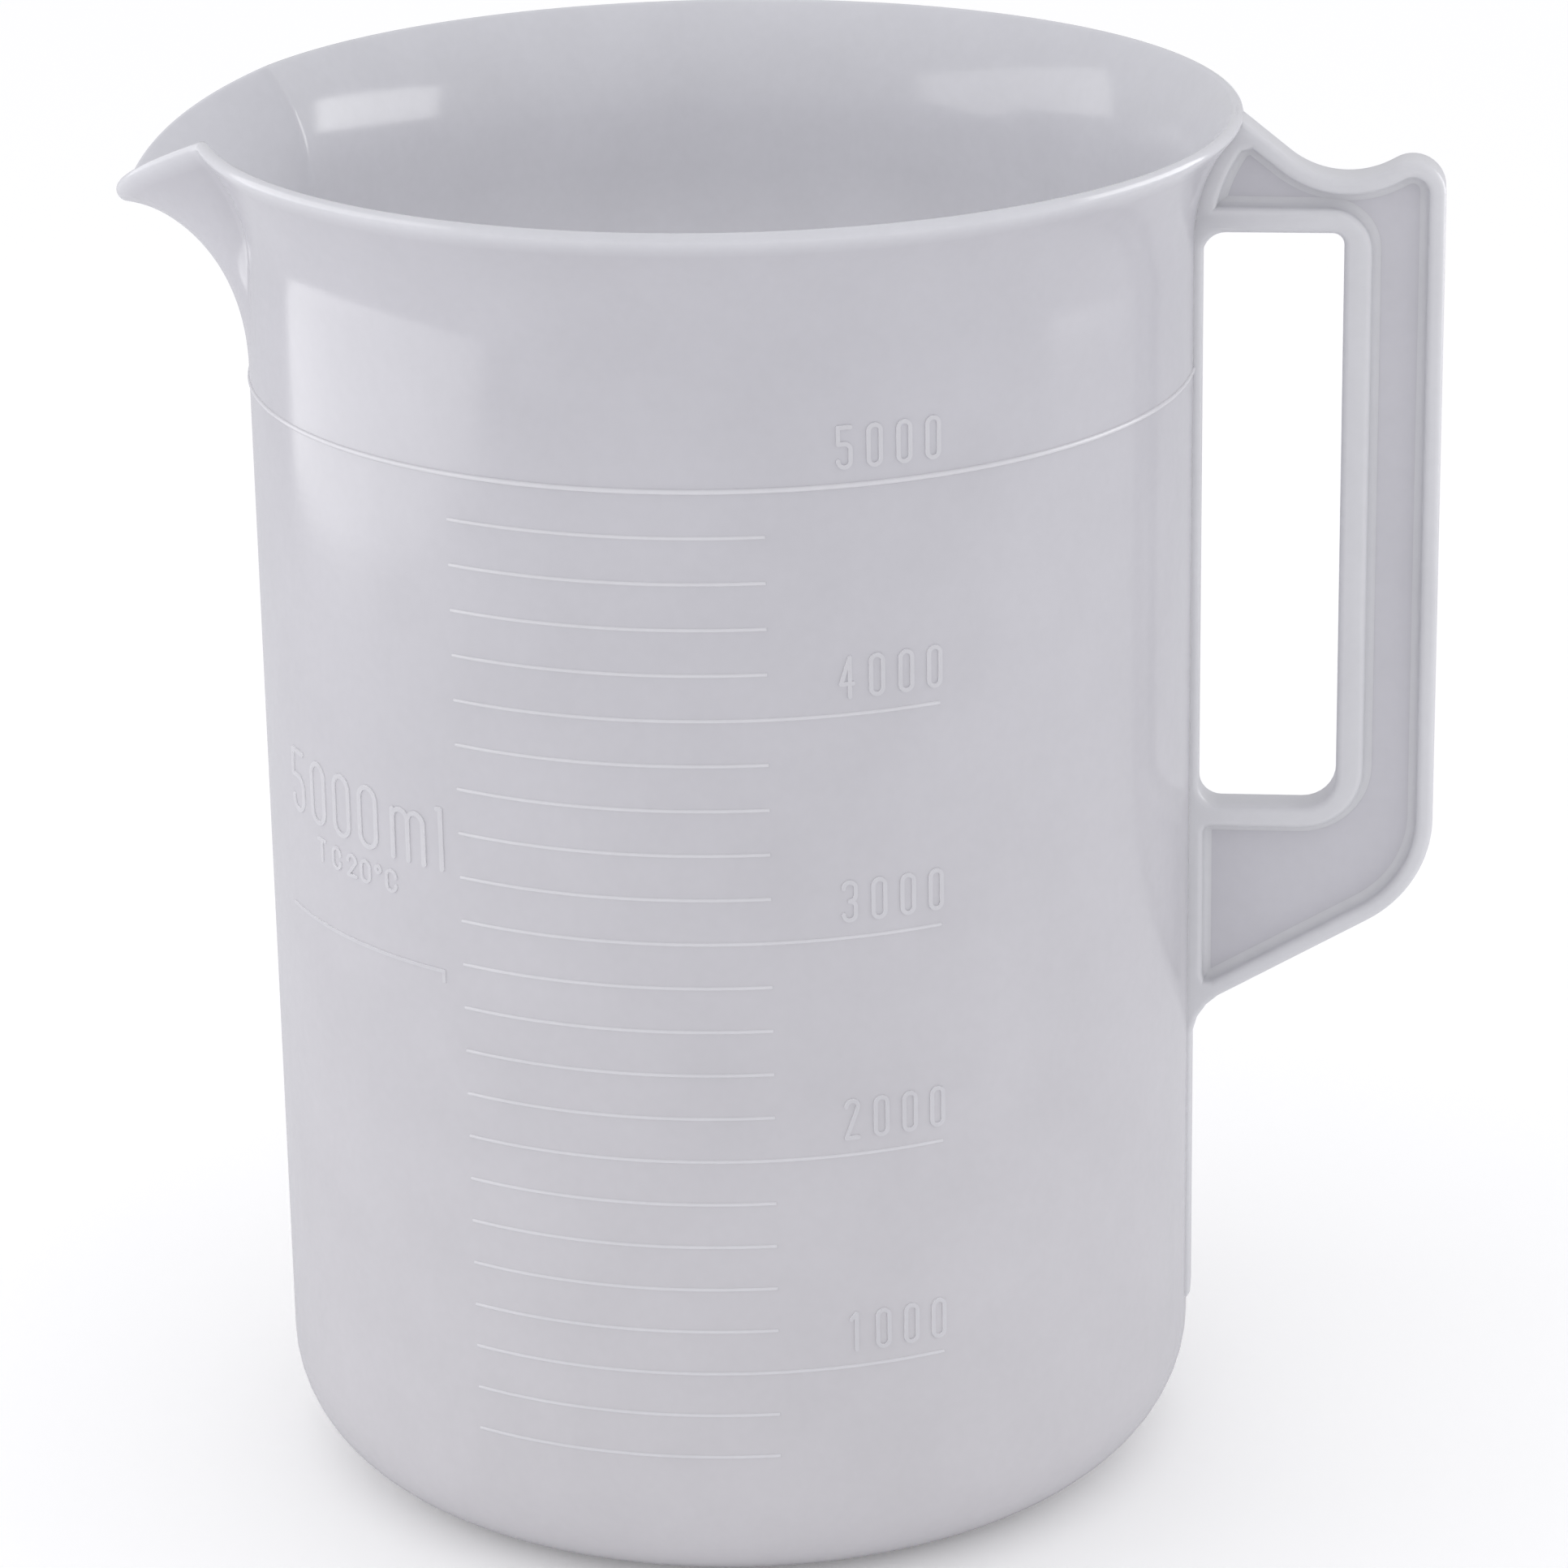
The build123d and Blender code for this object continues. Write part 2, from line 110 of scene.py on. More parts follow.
# The table is near white as light, and a shade darker where the gloss mirrors it.
mirrored = add_node(table_top.node_tree, "ShaderNodeLightPath").outputs["Is Glossy Ray"]
laminate = add_node(
    table_top.node_tree,
    "ShaderNodeMix",
    {"Factor": mirrored, "A": linear("#F7F7F7"), "B": linear("#C8C8CC")},
    data_type="RGBA",
)
table_top.node_tree.links.new(laminate.outputs["Result"], table_shader.inputs["Base Color"])
table_shader.inputs["Roughness"].default_value = 0.9
table_shader.inputs["Specular IOR Level"].default_value = 0.2
table_shader.inputs["Emission Color"].default_value = linear("#F7F7F7")
table_shader.inputs["Emission Strength"].default_value = 0.09

table_mesh = bpy.data.meshes.new("table_top")
half = TABLE_SIDE / 2
table_mesh.from_pydata(
    [(-half, -half, 0), (half, -half, 0), (half, half, 0), (-half, half, 0)], [], [(0, 1, 2, 3)]
)
table_mesh.materials.append(table_top)
table = bpy.data.objects.new("table_top", table_mesh)
bpy.context.scene.collection.objects.link(table)

room = bpy.data.worlds.new("white_room")
room.use_nodes = True
room.node_tree.nodes["Background"].inputs["Color"].default_value = linear("#FDFDFF")
# The room is full white as light, and a shade darker where the gloss mirrors it.
mirrored = add_node(room.node_tree, "ShaderNodeLightPath").outputs["Is Glossy Ray"]
room_strength = add_node(
    room.node_tree, "ShaderNodeMapRange", {"Value": mirrored, "To Min": 1.0, "To Max": 0.6}
)
room.node_tree.links.new(
    room_strength.outputs["Result"], room.node_tree.nodes["Background"].inputs["Strength"]
)
bpy.context.scene.world = room


def soft_panel(name, place, target, width, height, watts, seen_in="diffuse"):
    """An evenly lit rectangular panel that faces a point, and acts on diffuse or glossy light."""
    data = bpy.data.lights.new(name, "AREA")
    data.shape = "RECTANGLE"
    data.size = width
    data.size_y = height
    data.energy = watts
    panel = bpy.data.objects.new(name, data)
    bpy.context.scene.collection.objects.link(panel)
    toward = Vector(target) - Vector(place)
    panel.matrix_world = Matrix.Translation(Vector(place)) @ toward.to_track_quat(
        "-Z", "Y"
    ).to_matrix().to_4x4()
    panel.visible_camera = False
    panel.visible_diffuse = seen_in == "diffuse"
    panel.visible_glossy = seen_in == "glossy"


soft_panel("left_fill", (-0.75, -0.15, 0.28), (0, 0, 0.14), 0.7, 0.55, 1.1)
soft_panel("right_fill", (0.85, -0.05, 0.3), (0, 0, 0.14), 0.5, 0.5, 0.7)
soft_panel("left_window", (-0.6, -0.125, 0.315), (0, -0.125, 0.315), 0.79, 0.57, 2.1, "glossy")
soft_panel("right_window", (0.7, 0.25, 0.33), (0, 0.25, 0.33), 0.6, 0.5, 3.0, "glossy")

# The real wall lets light through into the bowl. A soft glow inside it stands in for that.
bowl_glow_data = bpy.data.lights.new("bowl_glow", "POINT")
bowl_glow_data.energy = 0.035
bowl_glow_data.shadow_soft_size = 0.03
bowl_glow = bpy.data.objects.new("bowl_glow", bowl_glow_data)
bpy.context.scene.collection.objects.link(bowl_glow)
bowl_glow.matrix_world = Matrix.Translation((0.02, 0, 0.17))
bowl_glow.visible_camera = False
bowl_glow.visible_glossy = False

# ---- Vessel ----------------------------------------------------------------------------------
# The bowl of the beaker: flat floor, rounded corner, straight wall, flared lip and pouring spout.
# It is one injection moulding in natural, milky polypropylene, so it is one unbroken skin here:
# a section of the wall turned about the axis, and drawn out and down over the spout's sector.
BASE_RADIUS = 88.85
TAPER = 0.0015
WALL = 2.4
FLOOR = 3.0
CORNER_RADIUS = 24.0
FLARE_Z = 243.4
FLARE_RADIUS = 32.2
FLARE_ANGLE = 42.0
SPOUT_ROOT_Z = 221.0
SPOUT_END = (112.9, 248.0)
SPOUT_HALF_ANGLE = 18.75
SPOUT_EDGE_WALL = 1.5
TURN_STEPS = 576
RISE_STEPS = 26
EDGE_STEPS = 8
CORNER_STEPS = 14
WALL_STEPS = 8


def wall_radius(z):
    """Outer radius of the wall, in millimetres."""
    return BASE_RADIUS + TAPER * z


def around(centre, radius, first, last, steps):
    """Points along an arc, first and last included, in degrees."""
    angles = [math.radians(first + (last - first) * i / steps) for i in range(steps + 1)]
    return [
        (centre[0] + radius * math.cos(angle), centre[1] + radius * math.sin(angle))
        for angle in angles
    ]


def lip_rise(flare_z, radius, angle):
    """Outer skin from the spout's root up to the edge: (place, direction towards the bore)."""
    straight = flare_z - SPOUT_ROOT_Z
    curved = radius * math.radians(angle)
    centre = (wall_radius(flare_z) + radius, flare_z)
    rise = []
    for i in range(RISE_STEPS + 1):
        run = (straight + curved) * i / RISE_STEPS
        if run < straight:
            z = SPOUT_ROOT_Z + run
            rise.append(((wall_radius(z), z), (-1.0, 0.0)))
        else:
            turn = (run - straight) / radius
            inward = (-math.cos(turn), math.sin(turn))
            rise.append(
                ((centre[0] + radius * inward[0], centre[1] + radius * inward[1]), inward)
            )
    return rise


def lip_section(flare_z, radius, angle, edge_wall):
    """The lip from the outside of the spout's root, over the round edge, to the inside."""
    rise = lip_rise(flare_z, radius, angle)
    outside = [place for place, inward in rise]
    inside = []
    for i, (place, inward) in enumerate(rise):
        thick = WALL + (edge_wall - WALL) * i / RISE_STEPS
        inside.append((place[0] + thick * inward[0], place[1] + thick * inward[1]))
    inward = rise[-1][1]
    along = (inward[1], -inward[0])
    middle = [(a + b) / 2 for a, b in zip(outside[-1], inside[-1])]
    edge = []
    for i in range(1, EDGE_STEPS):
        turn = math.pi * i / EDGE_STEPS
        out, back = math.sin(turn) * edge_wall / 2, -math.cos(turn) * edge_wall / 2
        edge.append([m + out * a + back * n for m, a, n in zip(middle, along, inward)])
    return outside + edge + inside[::-1]


tip_run = SPOUT_END[0] - wall_radius(SPOUT_ROOT_Z)
tip_rise = SPOUT_END[1] - SPOUT_ROOT_Z
tip_radius = (tip_run**2 + tip_rise**2) / (2 * tip_run)
tip_angle = math.degrees(math.atan2(tip_rise, tip_radius - tip_run))
plain_lip = lip_section(FLARE_Z, FLARE_RADIUS, FLARE_ANGLE, WALL)
spout_lip = lip_section(SPOUT_ROOT_Z, tip_radius, tip_angle, SPOUT_EDGE_WALL)

flat_radius = BASE_RADIUS - CORNER_RADIUS
corner_run = wall_radius(CORNER_RADIUS) - flat_radius
outer_corner = [
    (flat_radius + (x - flat_radius) * corner_run / CORNER_RADIUS, z)
    for x, z in around((flat_radius, CORNER_RADIUS), CORNER_RADIUS, 270, 360, CORNER_STEPS)
]
bore_run = corner_run - WALL
bore_rise = CORNER_RADIUS - FLOOR
inner_corner = [
    (flat_radius + bore_run * math.cos(angle), CORNER_RADIUS + bore_rise * math.sin(angle))
    for angle in [math.radians(-90 * i / CORNER_STEPS) for i in range(CORNER_STEPS + 1)]
]
wall_rise = SPOUT_ROOT_Z - CORNER_RADIUS
wall_heights = [CORNER_RADIUS + wall_rise * i / WALL_STEPS for i in range(1, WALL_STEPS)]
below_outside = [(0, 0), (flat_radius / 2, 0), *outer_corner] + [
    (wall_radius(z), z) for z in wall_heights
]
below_inside = [(wall_radius(z) - WALL, z) for z in reversed(wall_heights)] + [
    *inner_corner,
    (flat_radius / 2, FLOOR),
    (0, FLOOR),
]
plain_section = below_outside + plain_lip + below_inside
spout_section = below_outside + spout_lip + below_inside
edge_first = len(below_outside) + RISE_STEPS
edge_last = edge_first + EDGE_STEPS

section_mesh = bpy.data.meshes.new("wall_section")
section_mesh.from_pydata([(r * MM, 0, z * MM) for r, z in plain_section], [], [])
drawn = section_mesh.attributes.new("spout_section", "FLOAT_VECTOR", "POINT")
for i, (r, z) in enumerate(spout_section):
    drawn.data[i].vector = (r * MM, 0, z * MM)

# The plastic is one colour. The differences between these shades are painted light.
LOW_SHADE = linear("#C5C3C7")
HIGH_SHADE = linear("#BFBEC4")
EDGE_SHADE = linear("#CFCFD4")
BORE_SHADE = linear("#CFCFD4")
DEEP_SHADE = linear("#FAF9FB")
HIGH_AT = 240
BORE_FROM = 235
DEEP_BELOW = 85
EDGE_FADE = 2


def blend(first, second, amount):
    """A colour part of the way from one to another."""
    amount = min(max(amount, 0.0), 1.0)
    return [a + (b - a) * amount for a, b in zip(first, second)]


# Light soaks through the real milky wall. The skin's colour has that light painted in: it is
# a little paler low down, where light from the table enters, and paler still the deeper in the bore.
# On the lip's round edge it is as pale as the top of the bore.
skin_shade = section_mesh.attributes.new("skin_shade", "FLOAT_COLOR", "POINT")
for i, (r, z) in enumerate(plain_section):
    away = max(edge_first - i, i - edge_last, 0)
    if i < edge_first + EDGE_STEPS / 2:
        side = blend(LOW_SHADE, HIGH_SHADE, z / HIGH_AT)
    else:
        side = blend(BORE_SHADE, DEEP_SHADE, (BORE_FROM - z) / DEEP_BELOW)
    skin_shade.data[i].color = blend(EDGE_SHADE, side, away / EDGE_FADE)


CLOUD_SIZE = 0.025
MOTTLE_SIZE = 0.002
GLOSS_PATCH = 0.008
GLOSS_DRIFT = 0.03
PEEL_SIZE = 0.0015
DRAG_PITCH = 0.001
DRAG_LENGTH = 0.04
SKIN_RELIEF = 0.00004


def polypropylene(name, shade, roughness, flank_highlight_shade=None):
    """Natural polypropylene, injection moulded in a polished tool: milky, so light soaks in a
    little and softens every form, with a waxy gloss and a faint cloudiness. The shade is a
    colour, or the name of the mesh attribute that holds one. Flanks that stand out from the
    wall may be painted paler: a painted highlight for light that catches and leaks out of
    thin raised edges."""
    material = bpy.data.materials.new(name)
    material.use_nodes = True
    tree = material.node_tree
    shader = tree.nodes["Principled BSDF"]
    place = add_node(tree, "ShaderNodeTexCoord").outputs["Object"]
    if shade.startswith("#"):
        base = linear(shade)[:3]
    else:
        base = add_node(tree, "ShaderNodeAttribute", attribute_name=shade).outputs["Color"]
    # Painted highlight: faces that turn away from the wall's outward direction take the paler flank colour.
    if flank_highlight_shade:
        level = add_node(
            tree, "ShaderNodeVectorMath", {0: place, 1: (1.0, 1.0, 0.0)}, operation="MULTIPLY"
        )
        outward = add_node(tree, "ShaderNodeVectorMath", {0: level.outputs[0]}, operation="NORMALIZE")
        skin = add_node(tree, "ShaderNodeNewGeometry").outputs["Normal"]
        facing = add_node(
            tree, "ShaderNodeVectorMath", {0: skin, 1: outward.outputs[0]}, operation="DOT_PRODUCT"
        )
        flank = add_node(
            tree,
            "ShaderNodeMapRange",
            {
                "Value": facing.outputs["Value"],
                "From Min": 0.5,
                "From Max": 0.95,
                "To Min": 1.0,
                "To Max": 0.0,
            },
        )
        base = add_node(
            tree,
            "ShaderNodeMix",
            {"Factor": flank.outputs["Result"], "A": linear(shade), "B": linear(flank_highlight_shade)},
            data_type="RGBA",
        ).outputs["Result"]
    # Flow of the melt leaves clouds some 25 mm across, and a mottling of 2 mm, by a shade.
    cloud = add_node(
        tree,
        "ShaderNodeTexNoise",
        {"Vector": place, "Scale": 1 / CLOUD_SIZE, "Detail": 3.0, "Roughness": 0.55},
    )
    cloudy = add_node(
        tree,
        "ShaderNodeMapRange",
        {"Value": cloud.outputs["Fac"], "From Min": 0.3, "From Max": 0.7, "To Min": 0.975, "To Max": 1.02},
    )
    mottle = add_node(tree, "ShaderNodeTexNoise", {"Vector": place, "Scale": 1 / MOTTLE_SIZE, "Detail": 1.0})
    mottled = add_node(
        tree,
        "ShaderNodeMapRange",
        {"Value": mottle.outputs["Fac"], "From Min": 0.3, "From Max": 0.7, "To Min": 0.992, "To Max": 1.008},
    )
    uneven = add_node(
        tree,
        "ShaderNodeMath",
        {0: cloudy.outputs["Result"], 1: mottled.outputs["Result"]},
        operation="MULTIPLY",
    )
    shaded = add_node(
        tree, "ShaderNodeVectorMath", {0: base, "Scale": uneven.outputs[0]}, operation="SCALE"
    )
    tree.links.new(shaded.outputs[0], shader.inputs["Base Color"])
    # The tool's polish is not quite even: the gloss wanders over patches of 8 mm.
    patches = add_node(
        tree, "ShaderNodeTexNoise", {"Vector": place, "Scale": 1 / GLOSS_PATCH, "Detail": 2.0}
    )
    gloss = add_node(
        tree,
        "ShaderNodeMapRange",
        {
            "Value": patches.outputs["Fac"],
            "To Min": roughness - GLOSS_DRIFT,
            "To Max": roughness + GLOSS_DRIFT,
        },
    )
    tree.links.new(gloss.outputs["Result"], shader.inputs["Roughness"])
    # Orange peel of about 1.5 mm, over level drag lines 1 mm apart from the core's release.
    peel = add_node(
        tree, "ShaderNodeTexNoise", {"Vector": place, "Scale": 1 / PEEL_SIZE, "Detail": 1.0}
    )
    levelled = add_node(
        tree,
        "ShaderNodeMapping",
        {"Vector": place, "Scale": (1 / DRAG_LENGTH, 1 / DRAG_LENGTH, 1 / DRAG_PITCH)},
    )
    drag = add_node(tree, "ShaderNodeTexNoise", {"Vector": levelled.outputs[0], "Scale": 1.0})
    relief = add_node(
        tree,
        "ShaderNodeMath",
        {0: peel.outputs["Fac"], 1: drag.outputs["Fac"]},
        operation="ADD",
    )
    bump = add_node(
        tree,
        "ShaderNodeBump",
        {"Height": relief.outputs[0], "Strength": 0.15, "Distance": SKIN_RELIEF},
    )
    tree.links.new(bump.outputs["Normal"], shader.inputs["Normal"])
    shader.inputs["IOR"].default_value = 1.49
    shader.inputs["Subsurface Weight"].default_value = 0.15
    shader.inputs["Subsurface Radius"].default_value = (1.0, 1.0, 1.0)
    shader.inputs["Subsurface Scale"].default_value = 0.002
    return material


# The wall's colour comes from the skin's attribute, with its painted light.
vessel_plastic = polypropylene("natural_polypropylene_wall", "skin_shade", 0.14)

revolve = bpy.data.node_groups.new("turned_wall_with_spout", "GeometryNodeTree")
for socket_name, socket_type in (
    ("Section", "NodeSocketGeometry"),
    ("Section points", "NodeSocketInt"),
    ("Turn steps", "NodeSocketInt"),
    ("Spout half angle", "NodeSocketFloat"),
    ("Reach power", "NodeSocketFloat"),
    ("Drop power", "NodeSocketFloat"),
    ("Plastic", "NodeSocketMaterial"),
):
    revolve.interface.new_socket(name=socket_name, in_out="INPUT", socket_type=socket_type)
revolve.interface.new_socket(name="Wall", in_out="OUTPUT", socket_type="NodeSocketGeometry")
given = revolve.nodes.new("NodeGroupInput").outputs
columns = add_node(revolve, "ShaderNodeMath", {0: given["Turn steps"], 1: 1.0}, operation="ADD")
grid = add_node(
    revolve,
    "GeometryNodeMeshGrid",
    {"Size X": 1.0, "Size Y": 1.0, "Vertices X": columns.outputs[0], "Vertices Y": given["Section points"]},
)
flat_place = add_node(
    revolve,
    "ShaderNodeSeparateXYZ",
    {0: add_node(revolve, "GeometryNodeInputPosition").outputs[0]},
)
turn = add_node(
    revolve,
    "ShaderNodeMath",
    {0: flat_place.outputs["X"], 1: 2 * math.pi, 2: math.pi},
    operation="MULTIPLY_ADD",
)
last_row = add_node(revolve, "ShaderNodeMath", {0: given["Section points"], 1: 1.0}, operation="SUBTRACT")
row_share = add_node(revolve, "ShaderNodeMath", {0: flat_place.outputs["Y"], 1: 0.5}, operation="ADD")
row = add_node(
    revolve,
    "ShaderNodeMath",
    {0: row_share.outputs[0], 1: last_row.outputs[0]},
    operation="MULTIPLY",
)
row_number = add_node(revolve, "FunctionNodeFloatToInt", {0: row.outputs[0]}, rounding_mode="ROUND")
plain = add_node(
    revolve,
    "GeometryNodeSampleIndex",
    {
        "Geometry": given["Section"],
        "Value": add_node(revolve, "GeometryNodeInputPosition").outputs[0],
        "Index": row_number.outputs[0],
    },
    data_type="FLOAT_VECTOR",
)
drawn_out = add_node(
    revolve,
    "GeometryNodeSampleIndex",
    {
        "Geometry": given["Section"],
        "Value": add_node(
            revolve, "GeometryNodeInputNamedAttribute", {"Name": "spout_section"}, data_type="FLOAT_VECTOR"
        ).outputs[0],
        "Index": row_number.outputs[0],
    },
    data_type="FLOAT_VECTOR",
)
skin_colour = add_node(
    revolve,
    "GeometryNodeSampleIndex",
    {
        "Geometry": given["Section"],
        "Value": add_node(
            revolve, "GeometryNodeInputNamedAttribute", {"Name": "skin_shade"}, data_type="FLOAT_COLOR"
        ).outputs[0],
        "Index": row_number.outputs[0],
    },
    data_type="FLOAT_COLOR",
)
from_spout = add_node(revolve, "ShaderNodeMath", {0: turn.outputs[0], 1: math.pi}, operation="SUBTRACT")
from_spout = add_node(revolve, "ShaderNodeMath", {0: from_spout.outputs[0]}, operation="ABSOLUTE")
share = add_node(
    revolve,
    "ShaderNodeMath",
    {0: from_spout.outputs[0], 1: given["Spout half angle"]},
    operation="DIVIDE",
    use_clamp=True,
)
plain_parts = add_node(revolve, "ShaderNodeSeparateXYZ", {0: plain.outputs[0]})
drawn_parts = add_node(revolve, "ShaderNodeSeparateXYZ", {0: drawn_out.outputs[0]})
radius_share = add_node(
    revolve, "ShaderNodeMath", {0: share.outputs[0], 1: given["Reach power"]}, operation="POWER"
)
height_share = add_node(
    revolve, "ShaderNodeMath", {0: share.outputs[0], 1: given["Drop power"]}, operation="POWER"
)
radius_mix = add_node(
    revolve,
    "ShaderNodeMix",
    {"Factor": radius_share.outputs[0], "A": drawn_parts.outputs["X"], "B": plain_parts.outputs["X"]},
    data_type="FLOAT",
)
height_mix = add_node(
    revolve,
    "ShaderNodeMix",
    {"Factor": height_share.outputs[0], "A": drawn_parts.outputs["Z"], "B": plain_parts.outputs["Z"]},
    data_type="FLOAT",
)
out_x = add_node(
    revolve,
    "ShaderNodeMath",
    {
        0: radius_mix.outputs[0],
        1: add_node(revolve, "ShaderNodeMath", {0: turn.outputs[0]}, operation="COSINE").outputs[0],
    },
    operation="MULTIPLY",
)
out_y = add_node(
    revolve,
    "ShaderNodeMath",
    {
        0: radius_mix.outputs[0],
        1: add_node(revolve, "ShaderNodeMath", {0: turn.outputs[0]}, operation="SINE").outputs[0],
    },
    operation="MULTIPLY",
)
skin_place = add_node(
    revolve,
    "ShaderNodeCombineXYZ",
    {"X": out_x.outputs[0], "Y": out_y.outputs[0], "Z": height_mix.outputs[0]},
)
marked = add_node(
    revolve,
    "GeometryNodeStoreNamedAttribute",
    {"Geometry": grid.outputs["Mesh"], "Name": "skin_shade", "Value": skin_colour.outputs[0]},
    data_type="FLOAT_COLOR",
    domain="POINT",
)
placed = add_node(
    revolve,
    "GeometryNodeSetPosition",
    {"Geometry": marked.outputs[0], "Position": skin_place.outputs[0]},
)
closed = add_node(
    revolve, "GeometryNodeMergeByDistance", {"Geometry": placed.outputs[0], "Distance": 0.00001}
)
smooth = add_node(revolve, "GeometryNodeSetShadeSmooth", {"Geometry": closed.outputs[0]})
realized = add_node(revolve, "GeometryNodeRealizeInstances", {"Geometry": smooth.outputs[0]})
finished = add_node(
    revolve,
    "GeometryNodeSetMaterial",
    {"Geometry": realized.outputs[0], "Material": given["Plastic"]},
)
add_node(revolve, "NodeGroupOutput", {"Wall": finished.outputs[0]})


def grown(name, start_mesh, tree, values):
    """A mesh object made by a node tree from a starting mesh, with the tree's inputs by name."""
    seed = bpy.data.objects.new(name + "_seed", start_mesh)
    bpy.context.scene.collection.objects.link(seed)
    modifier = seed.modifiers.new("grow", "NODES")
    modifier.node_group = tree
    for item in tree.interface.items_tree:
        if item.in_out == "INPUT" and item.name in values:
            modifier[item.identifier] = values[item.name]
    seed.update_tag()
    bpy.context.view_layer.update()
    mesh = bpy.data.meshes.new_from_object(seed.evaluated_get(bpy.context.evaluated_depsgraph_get()))
    seed.modifiers.clear()
    bpy.data.objects.remove(seed)
    mesh.name = name
    piece = bpy.data.objects.new(name, mesh)
    bpy.context.scene.collection.objects.link(piece)
    return piece


def turn_faces_out(piece):
    """Turns a closed mesh's faces so that they point out of it."""
    work = bmesh.new()
    work.from_mesh(piece.data)
    bmesh.ops.recalc_face_normals(work, faces=work.faces)
    if work.calc_volume(signed=True) < 0:
        bmesh.ops.reverse_faces(work, faces=work.faces)
    work.to_mesh(piece.data)
    work.free()


vessel = grown(
    "vessel",
    section_mesh,
    revolve,
    {
        "Section points": len(plain_section),
        "Turn steps": TURN_STEPS,
        "Spout half angle": math.radians(SPOUT_HALF_ANGLE),
        "Reach power": 2.6,
        "Drop power": 1.15,
        "Plastic": vessel_plastic,
    },
)
turn_faces_out(vessel)
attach(vessel, "root")
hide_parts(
    "floor_disc",
    "base_corner_low",
    "base_corner_high",
    "measuring_wall",
    "upper_wall",
    "flared_lip",
    "pour_spout",
)

# ---- Handle ----------------------------------------------------------------------------------
# A closed-loop handle with an I-shaped section: rounded flanges round a thin web, for stiffness
# without a thick, slow-cooling core. It is moulded in one with the wall and its full-height rib.
HANDLE_WIDTH = 8.8
WEB_WIDTH = 2.2
OUTER_FLANGE = 3.2
HANDLE_EDGE = 1.2
DIP_X = 117.3
DIP_RADIUS = 17.0
BUMP_RADIUS = 6.2
BUMP_Z = 252.2
TOP_SLOPE = 39.0
HANDLE_REACH = 135.4
HEEL_RADIUS = 24.0
HEEL_Z = 129.7
FOOT_SLOPE = 29.7
RIB_FACE = 89.75
OPENING_LEFT = 90.6
OPENING_RIGHT = 116.8
OPENING_LOW = 131.7
OPENING_HIGH = 244.6
GRIP_RIGHT = 122.0
GRIP_LOW = 127.5
GRIP_HIGH = 249.2
RIB_ROOT = 86.9


def handle_line(inset):
    """The handle's outline from the lip round to the foot, drawn in by an inset."""
    bump_centre = (HANDLE_REACH - BUMP_RADIUS, BUMP_Z)
    run = bump_centre[0] - DIP_X
    rise = math.sqrt((DIP_RADIUS + BUMP_RADIUS) ** 2 - run**2)
    join = math.degrees(math.atan2(rise, -run))
    dip_centre = (DIP_X, BUMP_Z + rise)
    heel_centre = (HANDLE_REACH - HEEL_RADIUS, HEEL_Z)
    return (
        around(dip_centre, DIP_RADIUS + inset, 270 - TOP_SLOPE, join + 180, 18)
        + around(bump_centre, BUMP_RADIUS - inset, join, 0, 14)
        + around(heel_centre, HEEL_RADIUS - inset, 0, FOOT_SLOPE - 90, 16)
    )


def down_slope(point, slope, x):
    """Where a straight line from a point, rising outwards at a slope, crosses x."""
    return (x, point[1] - (point[0] - x) * math.tan(math.radians(slope)))


outside_line = handle_line(0)
lip_seat = down_slope(outside_line[0], -TOP_SLOPE, 96.6)
foot = down_slope(outside_line[-1], FOOT_SLOPE, 94.7)
outline = (
    [lip_seat]
    + outside_line
    + [foot, (92.5, foot[1] - 1.9), (90.7, foot[1] - 4.6), (RIB_FACE, foot[1] - 8)]
    + [(89.78, 29.5), (89.2, 28.4), (RIB_ROOT, 28.0), (RIB_ROOT, FLARE_Z)]
    + around((wall_radius(FLARE_Z) + FLARE_RADIUS, FLARE_Z), FLARE_RADIUS + 1.2, 176, 180 - FLARE_ANGLE, 10)
)


def rounded_box(left, low, right, high, corners, steps=8):
    """A rectangle with a radius at each corner, from the lower left, turning left all round."""
    centres = (
        (left, low, 1, 1, 180),
        (right, low, -1, 1, 270),
        (right, high, -1, -1, 0),
        (left, high, 1, -1, 90),
    )
    points = []
    for (x, z, way_x, way_z, first), radius in zip(centres, corners):
        centre = (x + way_x * radius, z + way_z * radius)
        points += around(centre, radius, first, first + 90, steps)
    return points


opening = rounded_box(OPENING_LEFT, OPENING_LOW, OPENING_RIGHT, OPENING_HIGH, (4.3, 6.5, 2.2, 4.3))

inner_line = handle_line(OUTER_FLANGE)
neck_circle = ((wall_radius(FLARE_Z) + FLARE_RADIUS, FLARE_Z), FLARE_RADIUS - OUTER_FLANGE)
pocket = (
    around(*neck_circle, 168.0, 145.0, 8)
    + [down_slope(inner_line[0], -TOP_SLOPE, 99.6)]
    + inner_line
    + [down_slope(inner_line[-1], FOOT_SLOPE, 93.6), (92.0, 95.6), (91.6, 97.2), (91.6, GRIP_LOW - 1.2)]
    + [(92.0, GRIP_LOW - 0.2), (93.0, GRIP_LOW)]
    + around((GRIP_RIGHT - 12, GRIP_LOW + 12), 12, 270, 360, 12)
    + around((GRIP_RIGHT - 8, GRIP_HIGH - 8), 8, 0, 90, 10)
)


